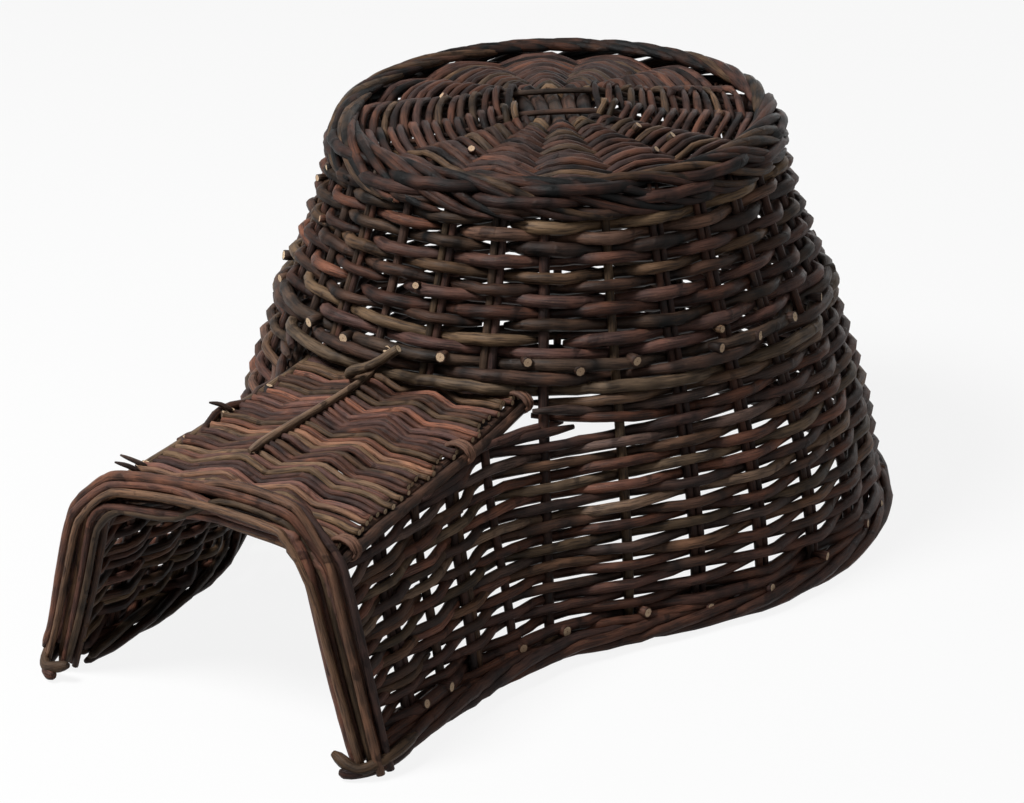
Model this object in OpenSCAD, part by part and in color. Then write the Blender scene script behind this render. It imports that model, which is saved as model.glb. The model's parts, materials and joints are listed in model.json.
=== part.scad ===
// Woven hedgehog house: an upside-down willow basket with a tunnel entrance.
// Millimetres, +Z up, standing on z = 0, with the tunnel towards -Y.

/* [Body] */
// Radius of the ring of stakes at the ground
ground_r = 194; // [186:1:202]
// Radius of the ring of stakes at the rim
rim_r = 125; // [119:1:131]
// Height of the stake tops, under the crest of the rim
stake_top_z = 250; // [244:1:262]
// Height of the wale, the band above the tunnel, as a share of the stakes' height
wale_share = 0.568; // [0.552:0.004:0.584]

/* [Tunnel] */
// Distance from the body's axis to the posts at the mouth
mouth_reach = 325; // [310:1:345]
// Half the width between the mouth posts at the ground
mouth_half_w = 104; // [98:1:110]
// Half the width between the two edge sticks of the roof
roof_half_w = 79; // [74:1:80]
// How far the roof falls from the body to the mouth
roof_fall = 18; // [12:1:20]

/* [Rods] */
// Thickness of the stakes and posts
stake_d = 6; // [5:0.1:6.6]
// Thickness of the weaving rods in the lower wall
skirt_rod_d = 4.4; // [4:0.1:4.5]
// Thickness of the wale rods
wale_rod_d = 6; // [5:0.1:6.4]
// Thickness of the border rods on the ground
border_rod_d = 9; // [8:0.1:9.6]
// Thickness of the rim rods
rim_rod_d = 8; // [7:0.1:8.6]
// Thickness of the base sticks in the top disc
base_stick_d = 7; // [6:0.1:7.4]
// Thickness of the weaving rods in the top disc
disc_rod_d = 4.5; // [4:0.1:4.6]
// Thickness of the roof sticks
roof_stick_d = 7; // [6:0.1:7.6]
// Thickness of the cross rods in the roof
roof_rod_d = 6.4; // [5.4:0.1:7]
// Thickness of the hoop rods
hoop_rod_d = 6.6; // [6:0.1:7.4]
// Room left between pieces that rest on each other
play = 0.2; // [0.1:0.05:0.3]

/* [Hidden] */
// Counts of the weave
stake_count = 28;
stake_step = 360 / stake_count;
back_stake = stake_count / 2;
door_stake = 2;
tunnel_bays = 5;
stations = 34;
upper_rows = 12;
lower_rows = 16;
wale_rods = 3;
roof_sticks_n = 5;
roof_rods_n = 19;
disc_rods = 13;
spokes = 14;
spoke_step = 360 / spokes;
weave_sides = 4;
rod_sides = 6;

// Rod radii
stake_r = stake_d / 2;
skirt_r = skirt_rod_d / 2;
wale_r = wale_rod_d / 2;
border_r = border_rod_d / 2;
rim_rod_r = rim_rod_d / 2;
base_r = base_stick_d / 2;
disc_r = disc_rod_d / 2;
stick_r = roof_stick_d / 2;
roof_rod_r = roof_rod_d / 2;
hoop_r = hoop_rod_d / 2;

// Levels of the bands, from the ground up
wale_z = wale_share * stake_top_z;
foot_z = 2;
lower_wale_r = 3.4;
lean_room = 2.2;
lower_wale_z = 2 * border_r + lower_wale_r + play + lean_room;
skirt_low = lower_wale_z + lower_wale_r + skirt_r + play + lean_room;
wale_pitch = wale_rod_d + play;
wale_low = wale_z - wale_pitch * wale_rods / 2;
wale_high = wale_z + wale_pitch * wale_rods / 2;
rim_lean_room = 1.4;
rim_high = stake_top_z - rim_lean_room;
rim_pitch = rim_rod_d + 4 * play;
rim_low = rim_high - 2 * rim_pitch;
upper_pitch = (rim_low - wale_high) / upper_rows;
upper_r = (upper_pitch - play) / 2;

// Outline of the body: straight stake pieces between knots on one smooth curve
knots_below = 3;
knots_above = 3;
swell = 1.5;
function curve_r(z) = rim_r + (ground_r - rim_r) * pow(sin(90 * (1 - z / stake_top_z)), swell);
knot_z = concat(
    [for (i = [0 : knots_below]) wale_low * i / knots_below],
    [for (i = [1 : knots_above]) wale_low + (stake_top_z - wale_low) * i / knots_above]);
wall_table = [for (z = knot_z) [z, curve_r(z)]];
function wall_r(z) = lookup(z, wall_table);

// Tunnel lines
tunnel_flare = 18;
door_flare = 7;
door_foot_y = 184;
head_reach = 150;
head_above = 2;
roof_inside = 8;
post_room = 1.2;
wale_lean = atan2(wall_r(0) - wall_r(wale_z), wale_z);
wale_dip = 1.5 * (stake_d + wale_rod_d) * sin(wale_lean);
roof_body_y = roof_inside - sqrt(pow(wall_r(wale_low), 2) - roof_half_w * roof_half_w);
roof_body_z = wale_low - wale_dip - stick_r - play;
function mix(a, b, t) = a + (b - a) * t;
function roof_z(y) = roof_body_z - roof_fall * (roof_body_y - y) / (roof_body_y + mouth_reach);
roof_lift = lift(stick_r + roof_rod_r + play, 2 * roof_half_w / (roof_sticks_n - 1));
roof_room = roof_lift + roof_rod_r + play + skirt_r + play;

// Small vector helpers
function unit(v) = v / norm(v);
function lift(d, spacing, turn = 0) =
    let (slope = asin(min(0.9, 2 * d / spacing)) + turn / 2)
    d / cos(slope);

// A tube along places [point, side], where side is the direction that faces outwards
function tube(places, r, sides) =
    let (n = len(places))
    let (dirs = [for (i = [0 : n - 2]) unit(places[i + 1][0] - places[i][0])])
    let (points = [for (i = [0 : n - 1])
        let (before = dirs[max(i - 1, 0)])
        let (after = dirs[min(i, n - 2)])
        let (along = unit(before + after))
        let (out = unit(places[i][1] - along * (places[i][1] * along)))
        let (across = cross(along, out))
        let (mitre = 1 / max(0.6, along * after))
        for (k = [0 : sides - 1])
            let (a = (k + 0.5) * 360 / sides)
            places[i][0] + r / cos(180 / sides) * (cos(a) * mitre * out + sin(a) * across)])
    let (skin = [for (i = [0 : n - 2], k = [0 : sides - 1])
        let (m = (k + 1) % sides)
        [i * sides + k, (i + 1) * sides + k, (i + 1) * sides + m, i * sides + m]])
    let (first_end = [for (k = [0 : sides - 1]) k])
    let (last_end = [for (k = [sides - 1 : -1 : 0]) (n - 1) * sides + k])
    [points, concat(skin, [first_end, last_end])];

// Draws a list of tubes as separate solids of one shape
module tubes(list) {
    starts = [for (i = 0, s = 0; i < len(list); s = s + len(list[i][0]), i = i + 1) s];
    points = [for (t = list, p = t[0]) p];
    faces = [for (i = [0 : len(list) - 1], f = list[i][1]) [for (v = f) v + starts[i]]];
    polyhedron(points = points, faces = faces, convexity = 10);
}

// A straight round stick between two points
module stick(p, q, r) {
    d = q - p;
    translate(p)
        rotate([0, acos(d.z / norm(d)), atan2(d.y, d.x)])
            cylinder(r = r, h = norm(d), $fn = 32);
}

// Extra room where a rod bends round a stake, and the cut at rod ends that meet
slack = 1.06;
end_gap = 2.5;

// Weaves a rod past stakes: p stake points, s stake directions, out +1 or -1 at each.
// The first and last entries only guide the turn and aren't part of the rod.
function weave(p, s, out, d) = [for (i = [1 : len(p) - 2])
    let (before = p[i] - p[i - 1])
    let (after = p[i + 1] - p[i])
    let (side = unit(cross(unit(unit(before) + unit(after)), s[i])))
    let (turn = asin(cross(unit(before), unit(after)) * s[i]))
    let (room = lift(slack * (is_list(d) ? d[i] : d), min(norm(before), norm(after)), out[i] * turn))
    [p[i] + out[i] * room * side, side]];

// Cuts a little off both ends of a rod, so that ends that meet stay apart
function trim(w, cut) =
    let (n = len(w))
    [for (i = [0 : n - 1])
        let (p = w[i][0])
        let (q = i == 0 ? w[1][0] : w[n - 2][0])
        [i == 0 || i == n - 1 ? p + cut * unit(q - p) : p, w[i][1]]];

// A stake of the body at height z, counted from the front round by the right side
function right_stake(k, z) =
    k == door_stake && z < wale_low
    ? mix(tunnel_foot(tunnel_bays), door_head(), z / wale_low)
    : let (a = (k + 0.5) * stake_step)
      let (spread = k == door_stake + 1 ? door_flare * max(0, 1 - z / wale_low) : 0)
      let (r = wall_r(z) + spread)
      [r * sin(a), -r * cos(a), z];
function stake(k, z) =
    let (m = (k + stake_count) % stake_count)
    let (p = right_stake(min(m, stake_count - 1 - m), z))
    [m < back_stake ? p.x : -p.x, p.y, z];
function door_head() =
    let (a = (door_stake + 0.5) * stake_step)
    [wall_r(wale_low) * sin(a), -wall_r(wale_low) * cos(a), wale_low];

// Tunnel stakes: bay 0 is the mouth post, the last bay is the door post
function tunnel_foot(i) =
    let (t = i / tunnel_bays)
    [mouth_half_w + tunnel_flare * pow(t, 3), -mix(mouth_reach, door_foot_y, t), 0];
function tunnel_head(i) =
    let (y = -mix(mouth_reach, head_reach, i / tunnel_bays))
    [roof_half_w + stick_r + stake_r + play, y, roof_z(y) + head_above];

// Stakes met along the lower wall, from the right of the mouth round to the left
function skirt(i, z) =
    let (j = min(i, stations - 1 - i))
    let (p = j < tunnel_bays
        ? mix(tunnel_foot(j), tunnel_head(j), z / tunnel_head(j).z)
        : right_stake(j - tunnel_bays + door_stake, z))
    [2 * i < stations ? p.x : -p.x, p.y, z];
function skirt_top(i) =
    let (j = min(i, stations - 1 - i))
    j > tunnel_bays ? wale_low - skirt_r - play
    : roof_z(j < tunnel_bays ? tunnel_head(j).y : door_head().y) - roof_room;

// Points and stake directions along the lower wall, with a guide at each end
function skirt_line(heights) = [for (i = [-1 : stations])
    i < 0 ? 2 * skirt(0, heights[0]) - skirt(1, heights[1])
    : i == stations ? 2 * skirt(i - 1, heights[i - 1]) - skirt(i - 2, heights[i - 2])
    : skirt(i, heights[i])];
function skirt_leans(heights) = [for (i = [-1 : stations])
    let (j = min(max(i, 0), stations - 1))
    unit(skirt(j, heights[j] + 1) - skirt(j, heights[j] - 1))];

// Runs a lower rod on past the mouth posts as far as the hoop
function reach_mouth(w) =
    let (last = w[len(w) - 1])
    let (on = [0, -(stake_r - play), 0])
    concat([[w[0][0] + on, w[0][1]]], w, [[last[0] + on, last[1]]]);

// Top disc: sticks and spokes in the disc's own turned plane
disc_z = rim_low + rim_rod_r;
slath_turn = 3 * stake_step;
slath_half = 24;
slath_side = 22;
slath_pitch = base_stick_d + 4 * play;
split_r = 2.2;
split_v = 4.6;
split_rise = base_r + split_r + play;
split_down = 60;
disc_in = 53;
disc_out = rim_r - lift(stake_r + rim_rod_r + play, rim_r * stake_step * PI / 180) - rim_rod_r
    - disc_r - 3 * play;
spoke_past = 1.5;
spoke_end = disc_out + disc_r + spoke_past;
function is_split(k) = let (m = (k + spokes) % spokes) m == 0 || m == 6 || m == 7 || m == 13;
function spoke_root(k) =
    let (m = (k + spokes) % spokes)
    is_split(k)
    ? [m == 0 || m == 13 ? slath_side : -slath_side, m < 7 ? split_v : -split_v]
    : m < 7 ? [(3 - m) * slath_pitch, slath_half] : [(m - 10) * slath_pitch, -slath_half];
function spoke_tip(k) =
    let (a = (k + 0.5) * spoke_step)
    spoke_end * [cos(a), sin(a)];
function split_z(r) = disc_z + split_rise * min(1, max(0, (split_down - r) / (split_down - slath_side)));
function spoke(k, r) =
    let (e = spoke_root(k))
    let (f = unit(spoke_tip(k) - e))
    let (b = e * f)
    let (p = e + f * (-b + sqrt(b * b + r * r - e * e)))
    [p.x, p.y, is_split(k) ? split_z(r) : disc_z];
function spoke_dir(k) =
    let (f = unit(spoke_root(k) - spoke_tip(k)))
    [f.x, f.y, 0];
module on_disc() {
    rotate(slath_turn)
        children();
}

// Mouth hoop: rods bent over the mouth in a bundle
hoop_bend = 30;
hoop_above = 8;
hoop_turns = 3;
hoop_pitch = hoop_rod_d + play;
hoop_step = hoop_rod_d * cos(180 / rod_sides) + play;
hoop_y = -mouth_reach - stake_r - hoop_r - play;
hoop_lean = atan2(mouth_half_w - tunnel_head(0).x, tunnel_head(0).z);
hoop_top = roof_z(-mouth_reach) + hoop_above;
function hoop_half(z) = mix(mouth_half_w, tunnel_head(0).x, z / tunnel_head(0).z);
hoop_nest = 0.74;
hoop_set = [[-1, 0], [0, 0], [1, 0], [-1, 1], [0, 1], [1, 1], [-0.5, 1 + hoop_nest]];
function hoop_place(x, z, a, n, y) = [[x + n * cos(a), y, z + n * sin(a)], [cos(a), 0, sin(a)]];
function hoop_line(n, y) =
    let (foot = hoop_r * sin(hoop_lean) + play)
    let (cz = hoop_top - hoop_bend)
    let (cx = hoop_half(cz) - hoop_bend / cos(hoop_lean))
    let (wide = hoop_half(foot) + n / cos(hoop_lean))
    let (turns = [for (i = [0 : hoop_turns]) mix(hoop_lean, 90, i / hoop_turns)])
    concat(
        [[[wide, y, foot], [1, 0, 0]]],
        [for (a = turns) hoop_place(cx + hoop_bend * cos(a), cz + hoop_bend * sin(a), a, n, y)],
        [for (i = [hoop_turns : -1 : 0])
            let (a = turns[i])
            hoop_place(-cx - hoop_bend * cos(a), cz + hoop_bend * sin(a), 180 - a, n, y)],
        [[[-wide, y, foot], [-1, 0, 0]]]);

// The box is centred on the origin, so the body's axis lies behind it
foot_lean_room = 0.6;
border_off = stake_r + border_r + play + foot_lean_room;
front_reach = -hoop_y + hoop_pitch * (1 + hoop_nest) + hoop_r;
back_reach = (wall_r(border_r) + border_off) * cos(stake_step / 2) + border_r;
body_y = (front_reach - back_reach) / 2;

// Bark colours
bark_dark = [0.20, 0.13, 0.10];
bark_red = [0.28, 0.16, 0.12];
bark_grey = [0.33, 0.27, 0.22];

function two(i) = str(i < 10 ? "0" : "", i);

// Five base sticks side by side in the middle, fanning out as spokes
module top_base_sticks() {
    color(bark_grey)
        on_disc()
            tubes([for (j = [-2 : 2])
                let (up = [spoke_root(3 - j), spoke_tip(3 - j)])
                let (down = [spoke_root(10 + j), spoke_tip(10 + j)])
                tube([for (p = [up[1], up[0], down[0], down[1]]) [[p.x, p.y, disc_z], [0, 0, 1]]],
                    base_r * cos(180 / rod_sides), rod_sides)]);
}

// Two thin split sticks that cross over the base sticks
module top_split_sticks() {
    color(bark_grey)
        on_disc()
            tubes([for (k = [0, 13])
                let (m = k == 0 ? 6 : 7)
                let (right = [for (r = [spoke_end, split_down, slath_side]) spoke(k, r)])
                let (left = [for (r = [slath_side, split_down, spoke_end]) spoke(m, r)])
                tube([for (p = concat(right, left)) [p, [0, 0, 1]]],
                    split_r * cos(180 / rod_sides), rod_sides)]);
}

// Binding rods round the middle: over one pair of arms and under the other.
// Each entry of bindings is how far a rod lies from the middle on the two pairs.
binding_corner = 4;
bend_room = 0.7;
bindings = [[20, 25], [26, 33], [32, 39]];
function binding(v, u, over, under) =
    let (arm = u - binding_corner)
    let (half = [[arm, v, over], [u, v / 2, under], [u, -v / 2, under], [arm, -v, over]])
    let (ring = concat(half, [for (p = half) [-p.x, -p.y, p.z]]))
    trim([for (i = [0 : len(ring)]) [ring[i % len(ring)], [0, 0, 1]]], end_gap);
module top_binding_rods() {
    off = base_r + disc_r + play + bend_room;
    gap = split_r + disc_r + 2 * play;
    color(bark_dark)
        on_disc()
            tubes([for (i = [0 : len(bindings) - 1])
                let (way = i % 2 == 0 ? 1 : -1)
                let (v = bindings[i].x)
                let (u = bindings[i].y)
                tube(binding(v, u, disc_z + way * off, split_z(u) - way * gap), disc_r, weave_sides)]);
}

// Rounds of thin rods woven over and under the spokes
function disc_round(n) =
    let (r = mix(disc_in, disc_out, n / (disc_rods - 1)))
    let (first = 3 + n % 2)
    let (ring = [for (i = [-1 : spokes + 1]) first + i])
    trim(weave([for (k = ring) spoke(k, r)], [for (k = ring) spoke_dir(k)],
        [for (i = [-1 : spokes + 1]) abs(i) % 2 == 0 ? -1 : 1],
        [for (k = ring) (is_split(k) ? split_r : base_r) + disc_r + play]), end_gap);
module top_weaving_rods() {
    color(bark_dark)
        on_disc()
            tubes([for (n = [0 : disc_rods - 1]) tube(disc_round(n), disc_r, weave_sides)]);
}

lean_span = 8;

// A rod round the body that passes outside some stakes and behind others
function body_ring(z, first, beat, r) =
    let (ring = [for (i = [-1 : stake_count + 1]) first + i])
    trim(weave([for (k = ring) stake(k, z)],
        [for (k = ring) unit(stake(k, z + lean_span) - stake(k, z - lean_span))],
        [for (i = [-1 : stake_count + 1]) i % beat == 0 || i == stake_count ? -1 : 1],
        stake_r + r + play), r);

rim_start = back_stake - 2;

// Two rim rods round the stake tops: outside two stakes and behind one
module rim_rod(i) {
    color(bark_red)
        tubes([tube(body_ring(rim_low + (i - 0.5) * rim_pitch, rim_start + i, 3, rim_rod_r),
            rim_rod_r, weave_sides)]);
}

crest_out = 1;
crest_r = rim_r + crest_out;
crest_z = stake_top_z + rim_rod_r + 3 * play;

// Plain rings that crown the rim: one on the stake ends, one inside it
function plain_ring(r, z) =
    trim([for (i = [0 : stake_count])
        let (a = 360 * i / stake_count)
        [[r * sin(a), -r * cos(a), z], [sin(a), -cos(a), 0]]], end_gap);
module rim_crest_outer() {
    color(bark_red)
        tubes([tube(plain_ring(crest_r, crest_z), rim_rod_r, weave_sides)]);
}
module rim_crest_inner() {
    color(bark_red)
        tubes([tube(plain_ring(crest_r - rim_pitch, crest_z), rim_rod_r, weave_sides)]);
}

// Stakes: square to the wall, cut off level at both ends
function stake_tube(k, low) =
    let (heights = [for (z = knot_z) if (z > low) z])
    tube([for (z = concat([low], heights)) let (p = stake(k, z)) [p, [p.x, p.y, 0]]],
        stake_r * cos(180 / weave_sides), weave_sides);
module wall_stakes() {
    color(bark_dark)
        tubes([for (k = [door_stake + 1 : stake_count - door_stake - 2]) stake_tube(k, foot_z)]);
}
module front_stakes() {
    color(bark_dark)
        tubes([for (k = [-door_stake : door_stake - 1]) stake_tube(k, wale_low)]);
}
module door_posts() {
    color(bark_dark)
        tubes([for (k = [door_stake, stake_count - door_stake - 1]) stake_tube(k, foot_z)]);
}

// Straight stakes of the tunnel's two side walls, and the posts at the mouth
module tunnel_stake(i) {
    foot = tunnel_foot(i);
    head = tunnel_head(i);
    for (m = [0, 1])
        mirror([m, 0, 0])
            stick(mix(foot, head, foot_z / head.z), head, stake_r);
}
module tunnel_stakes() {
    color(bark_dark)
        for (i = [1 : tunnel_bays - 1])
            tunnel_stake(i);
}
module mouth_posts() {
    color(bark_dark)
        tunnel_stake(0);
}

// One row of the upper wall: a rod in front of one stake and behind the next
module upper_row(i) {
    color(i % 3 == 0 ? bark_grey : i % 3 == 1 ? bark_red : bark_dark)
        tubes([tube(body_ring(wale_high + (i - 0.5) * upper_pitch, back_stake + i % 2, 2, upper_r),
            upper_r, weave_sides)]);
}

// One wale rod: outside two stakes and behind one, each a stake further on
module wale_rod(i) {
    color(bark_grey)
        tubes([tube(body_ring(wale_low + (i - 0.5) * wale_pitch, back_stake + i, 3, wale_r),
            wale_r, weave_sides)]);
}

// One row of the lower wall, from the mouth round the back to the mouth
module lower_row(i) {
    t = (i - 1) / (lower_rows - 1);
    heights = [for (k = [0 : stations - 1]) mix(skirt_low, skirt_top(k), t)];
    rod = weave(skirt_line(heights), skirt_leans(heights),
        [for (k = [-1 : stations]) (k + i + 1) % 2 == 0 ? 1 : -1], stake_r + skirt_r + play);
    color(i % 3 == 0 ? bark_grey : i % 3 == 1 ? bark_dark : bark_red)
        tubes([tube(reach_mouth(rod), skirt_r, weave_sides)]);
}

// Border rods flat on the ground on either side of the stake feet
function border_line(off) =
    let (line = skirt_line([for (i = [0 : stations - 1]) border_r]))
    reach_mouth([for (i = [1 : stations])
        let (side = unit(cross(line[i + 1] - line[i - 1], [0, 0, 1])))
        [line[i] + off * side, side]]);
module border_rod_outer() {
    color(bark_dark)
        tubes([tube(border_line(border_off), border_r, weave_sides)]);
}
module border_rod_inner() {
    color(bark_dark)
        tubes([tube(border_line(-border_off - lean_room / 2), border_r, weave_sides)]);
}

// A heavier rod woven just above the border: outside two stakes and behind one
module border_wale() {
    heights = [for (i = [0 : stations - 1]) lower_wale_z];
    rod = weave(skirt_line(heights), skirt_leans(heights),
        [for (k = [-1 : stations]) (k + 3) % 3 == 0 ? -1 : 1], stake_r + lower_wale_r + play);
    color(bark_red)
        tubes([tube(reach_mouth(rod), lower_wale_r, weave_sides)]);
}

// Roof: long sticks that tuck in under the wale, and cross rods woven over them
function stick_x(j) = mix(-roof_half_w, roof_half_w, j / (roof_sticks_n - 1));
function stick_back(x) =
    let (post = stake(door_stake, roof_body_z))
    let (room = stick_r + stake_r + post_room)
    abs(x) + room < post.x
    ? roof_inside - sqrt(pow(wall_r(wale_low), 2) - x * x)
    : post.y - room;
module roof_sticks() {
    front = hoop_y + hoop_r + 2 * play;
    color(bark_grey)
        for (j = [0 : roof_sticks_n - 1]) {
            x = stick_x(j);
            back = stick_back(x);
            stick([x, front, roof_z(front)], [x, back, roof_z(back)], stick_r);
        }
}
function cross_rod(n) =
    let (first = -mouth_reach + roof_rod_r)
    let (last = -wall_r(wale_low) - stake_d - 3 * wale_r - roof_rod_r)
    let (y = mix(first, last, n / (roof_rods_n - 1)))
    let (slope = atan2(roof_fall, roof_body_y + mouth_reach))
    let (up = [0, -sin(slope), cos(slope)])
    let (over = [for (j = [0 : roof_sticks_n - 1]) (j + n) % 2 == 0 ? 1 : -1])
    let (inner = [for (j = [0 : roof_sticks_n - 1])
        [[stick_x(j), y, roof_z(y)] + over[j] * roof_lift * up, up]])
    let (tip = [stick_r, 0, 0])
    let (ends = [inner[0], inner[roof_sticks_n - 1]])
    concat([[ends[0][0] - tip, up]], inner, [[ends[1][0] + tip, up]]);
module roof_cross_rods() {
    color(bark_red)
        tubes([for (n = [0 : roof_rods_n - 1]) tube(cross_rod(n), roof_rod_r, weave_sides)]);
}

// One rod of the bundle that is bent over the mouth
module hoop_rod(i) {
    set = hoop_set[i - 1];
    color(i % 2 == 0 ? bark_red : bark_dark)
        tubes([tube(hoop_line(set.x * hoop_step, hoop_y - set.y * hoop_pitch),
            hoop_r * cos(180 / rod_sides), rod_sides)]);
}

translate([0, body_y, 0]) {
    top_base_sticks();
    top_split_sticks();
    top_binding_rods();
    top_weaving_rods();
    rim_rod(1);  // rim_rod_1
    rim_rod(2);  // rim_rod_2
    rim_crest_outer();
    rim_crest_inner();
    wall_stakes();
    front_stakes();
    door_posts();
    tunnel_stakes();
    mouth_posts();
    for (i = [1 : upper_rows])
        upper_row(i);
    for (i = [1 : wale_rods])
        wale_rod(i);
    for (i = [1 : lower_rows])
        lower_row(i);
    border_rod_outer();
    border_rod_inner();
    border_wale();
    roof_sticks();
    roof_cross_rods();
    for (i = [1 : len(hoop_set)])
        hoop_rod(i);
}
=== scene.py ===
# %% [markdown]
# # A hedgehog house woven from willow
# The house is a round basket that stands upside down, with a tunnel woven on to its front.
# Everything on it is a rod: thick or thin, straight or woven, cut off pale at the end.
# The lesson grows every rod with the same few operators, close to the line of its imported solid.

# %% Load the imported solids
import json
import math
import random

import bmesh
import bpy
from mathutils import Matrix, Vector


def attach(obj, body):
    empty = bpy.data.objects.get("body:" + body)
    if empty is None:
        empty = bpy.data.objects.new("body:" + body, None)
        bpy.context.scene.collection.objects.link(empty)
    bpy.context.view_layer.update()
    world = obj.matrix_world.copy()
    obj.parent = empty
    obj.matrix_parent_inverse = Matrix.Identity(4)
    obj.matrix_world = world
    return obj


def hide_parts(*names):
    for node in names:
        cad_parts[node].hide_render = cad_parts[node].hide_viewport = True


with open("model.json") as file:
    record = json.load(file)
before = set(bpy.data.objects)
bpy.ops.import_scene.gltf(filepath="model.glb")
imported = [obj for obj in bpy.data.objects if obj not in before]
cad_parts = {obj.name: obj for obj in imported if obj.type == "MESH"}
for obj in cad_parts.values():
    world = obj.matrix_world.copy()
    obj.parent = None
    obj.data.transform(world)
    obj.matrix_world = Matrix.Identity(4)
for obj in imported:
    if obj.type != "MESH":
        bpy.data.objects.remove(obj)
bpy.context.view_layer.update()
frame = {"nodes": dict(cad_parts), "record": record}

print("solids loaded:", len(frame["nodes"]))

# %% [markdown]
# ## The camera
# The photograph was taken with a long lens from a little above, in front of the tunnel's right side.
# The angles and the lens come from fitting the outline of the basket, and the small roll
# is how far the camera was held off level. A guess by eye would miss some edges.

# %% Set the camera
BODY_Y = 70.75
SENSOR_MM, LENS_MM = 36, 97.87
CAMERA_PLACE = (0.86447, -1.31803 + BODY_Y / 1000, 0.72138)
AZIMUTH, ELEVATION, ROLL = (math.radians(a) for a in (34.155, 22.704, -1.211))
back = Vector((math.sin(AZIMUTH) * math.cos(ELEVATION), -math.cos(AZIMUTH) * math.cos(ELEVATION),
               math.sin(ELEVATION)))
level_right = Vector((math.cos(AZIMUTH), math.sin(AZIMUTH), 0))
level_up = back.cross(level_right)
right = level_right * math.cos(ROLL) + level_up * math.sin(ROLL)
up = level_up * math.cos(ROLL) - level_right * math.sin(ROLL)
camera_data = bpy.data.cameras.new("photo_camera")
camera_data.sensor_width = SENSOR_MM
camera_data.lens = LENS_MM
camera = bpy.data.objects.new("photo_camera", camera_data)
bpy.context.scene.collection.objects.link(camera)
turn = Matrix((right, up, back)).transposed().to_4x4()
camera.matrix_world = Matrix.Translation(CAMERA_PLACE) @ turn
bpy.context.scene.camera = camera
print("camera", [round(v, 3) for v in camera.location])

# %% [markdown]
# ## Bark and cut wood
# Unpeeled willow is dark, with streaks along the rod, pale specks, and darker rings at old buds.
# Object coordinates would run the streaks straight through a bent rod, so every rod carries its own
# coordinates: "rod" holds a point of the rod laid out straight, and "tint" says which rod it is.
# The streaks are one node group, used by all three barks with their own colours.

# %% A few words for building node trees
def place_node(tree, kind, **values):
    node = tree.nodes.new(kind)
    for key, value in values.items():
        setattr(node, key, value)
    return node


def wire(tree, source, target):
    tree.links.new(source, target)


def math_node(tree, operation, a, b=None, clamp=False):
    node = place_node(tree, "ShaderNodeMath", operation=operation, use_clamp=clamp)
    for socket, value in zip(node.inputs, (a, b)):
        if isinstance(value, (int, float)):
            socket.default_value = value
        elif value is not None:
            wire(tree, value, socket)
    return node.outputs[0]


def mix_colour(tree, factor, a, b, blend="MIX"):
    node = place_node(tree, "ShaderNodeMix", data_type="RGBA", blend_type=blend)
    for socket, value in zip((node.inputs[0], node.inputs[6], node.inputs[7]), (factor, a, b)):
        if isinstance(value, (int, float)):
            socket.default_value = value
        elif isinstance(value, tuple):
            socket.default_value = (*value, 1)
        else:
            wire(tree, value, socket)
    return node.outputs[2]


def noise(tree, vector, scale, stretch, detail=2.0):
    mapping = place_node(tree, "ShaderNodeMapping")
    mapping.inputs["Scale"].default_value = stretch
    wire(tree, vector, mapping.inputs["Vector"])
    node = place_node(tree, "ShaderNodeTexNoise")
    node.inputs["Scale"].default_value = scale
    node.inputs["Detail"].default_value = detail
    wire(tree, mapping.outputs[0], node.inputs["Vector"])
    return node.outputs["Fac"]


def ramp(tree, value, low, high):
    node = place_node(tree, "ShaderNodeMapRange")
    node.inputs["From Min"].default_value = low
    node.inputs["From Max"].default_value = high
    wire(tree, value, node.inputs["Value"])
    return node.outputs[0]


print("node words ready")

# %% The streaks, specks and bud rings that all barks share
streaks = bpy.data.node_groups.new("bark_streaks", "ShaderNodeTree")
streaks.interface.new_socket("Rod", in_out="INPUT", socket_type="NodeSocketVector")
for name in ("Streak", "Speck", "Bud", "Patch", "Height"):
    streaks.interface.new_socket(name, in_out="OUTPUT", socket_type="NodeSocketFloat")
group_in = place_node(streaks, "NodeGroupInput")
group_out = place_node(streaks, "NodeGroupOutput")
along = group_in.outputs["Rod"]
streak = noise(streaks, along, 9.0, (1.0, 1.0, 0.09), 4.0)
speck = ramp(streaks, noise(streaks, along, 13.0, (1.0, 1.0, 0.45), 1.0), 0.64, 0.74)
bud = ramp(streaks, noise(streaks, along, 1.3, (0.9, 0.9, 1.0), 0.0), 0.70, 0.78)
patch = noise(streaks, along, 0.55, (0.8, 0.8, 1.0), 2.0)
rough = noise(streaks, along, 22.0, (1.0, 1.0, 0.25), 3.0)
height = math_node(streaks, "ADD", math_node(streaks, "MULTIPLY", streak, 0.7),
                   math_node(streaks, "ADD", math_node(streaks, "MULTIPLY", bud, 0.5),
                             math_node(streaks, "MULTIPLY", rough, 0.35)))
bark_outputs = {"Streak": streak, "Speck": speck, "Bud": bud, "Patch": patch, "Height": height}
for name, socket in bark_outputs.items():
    wire(streaks, socket, group_out.inputs[name])
print("bark group outputs:", [s.name for s in streaks.interface.items_tree if s.in_out == "OUTPUT"])

# %% The three barks
BARK_BUMP, BARK_DEPTH_M = 0.75, 0.0008


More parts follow.
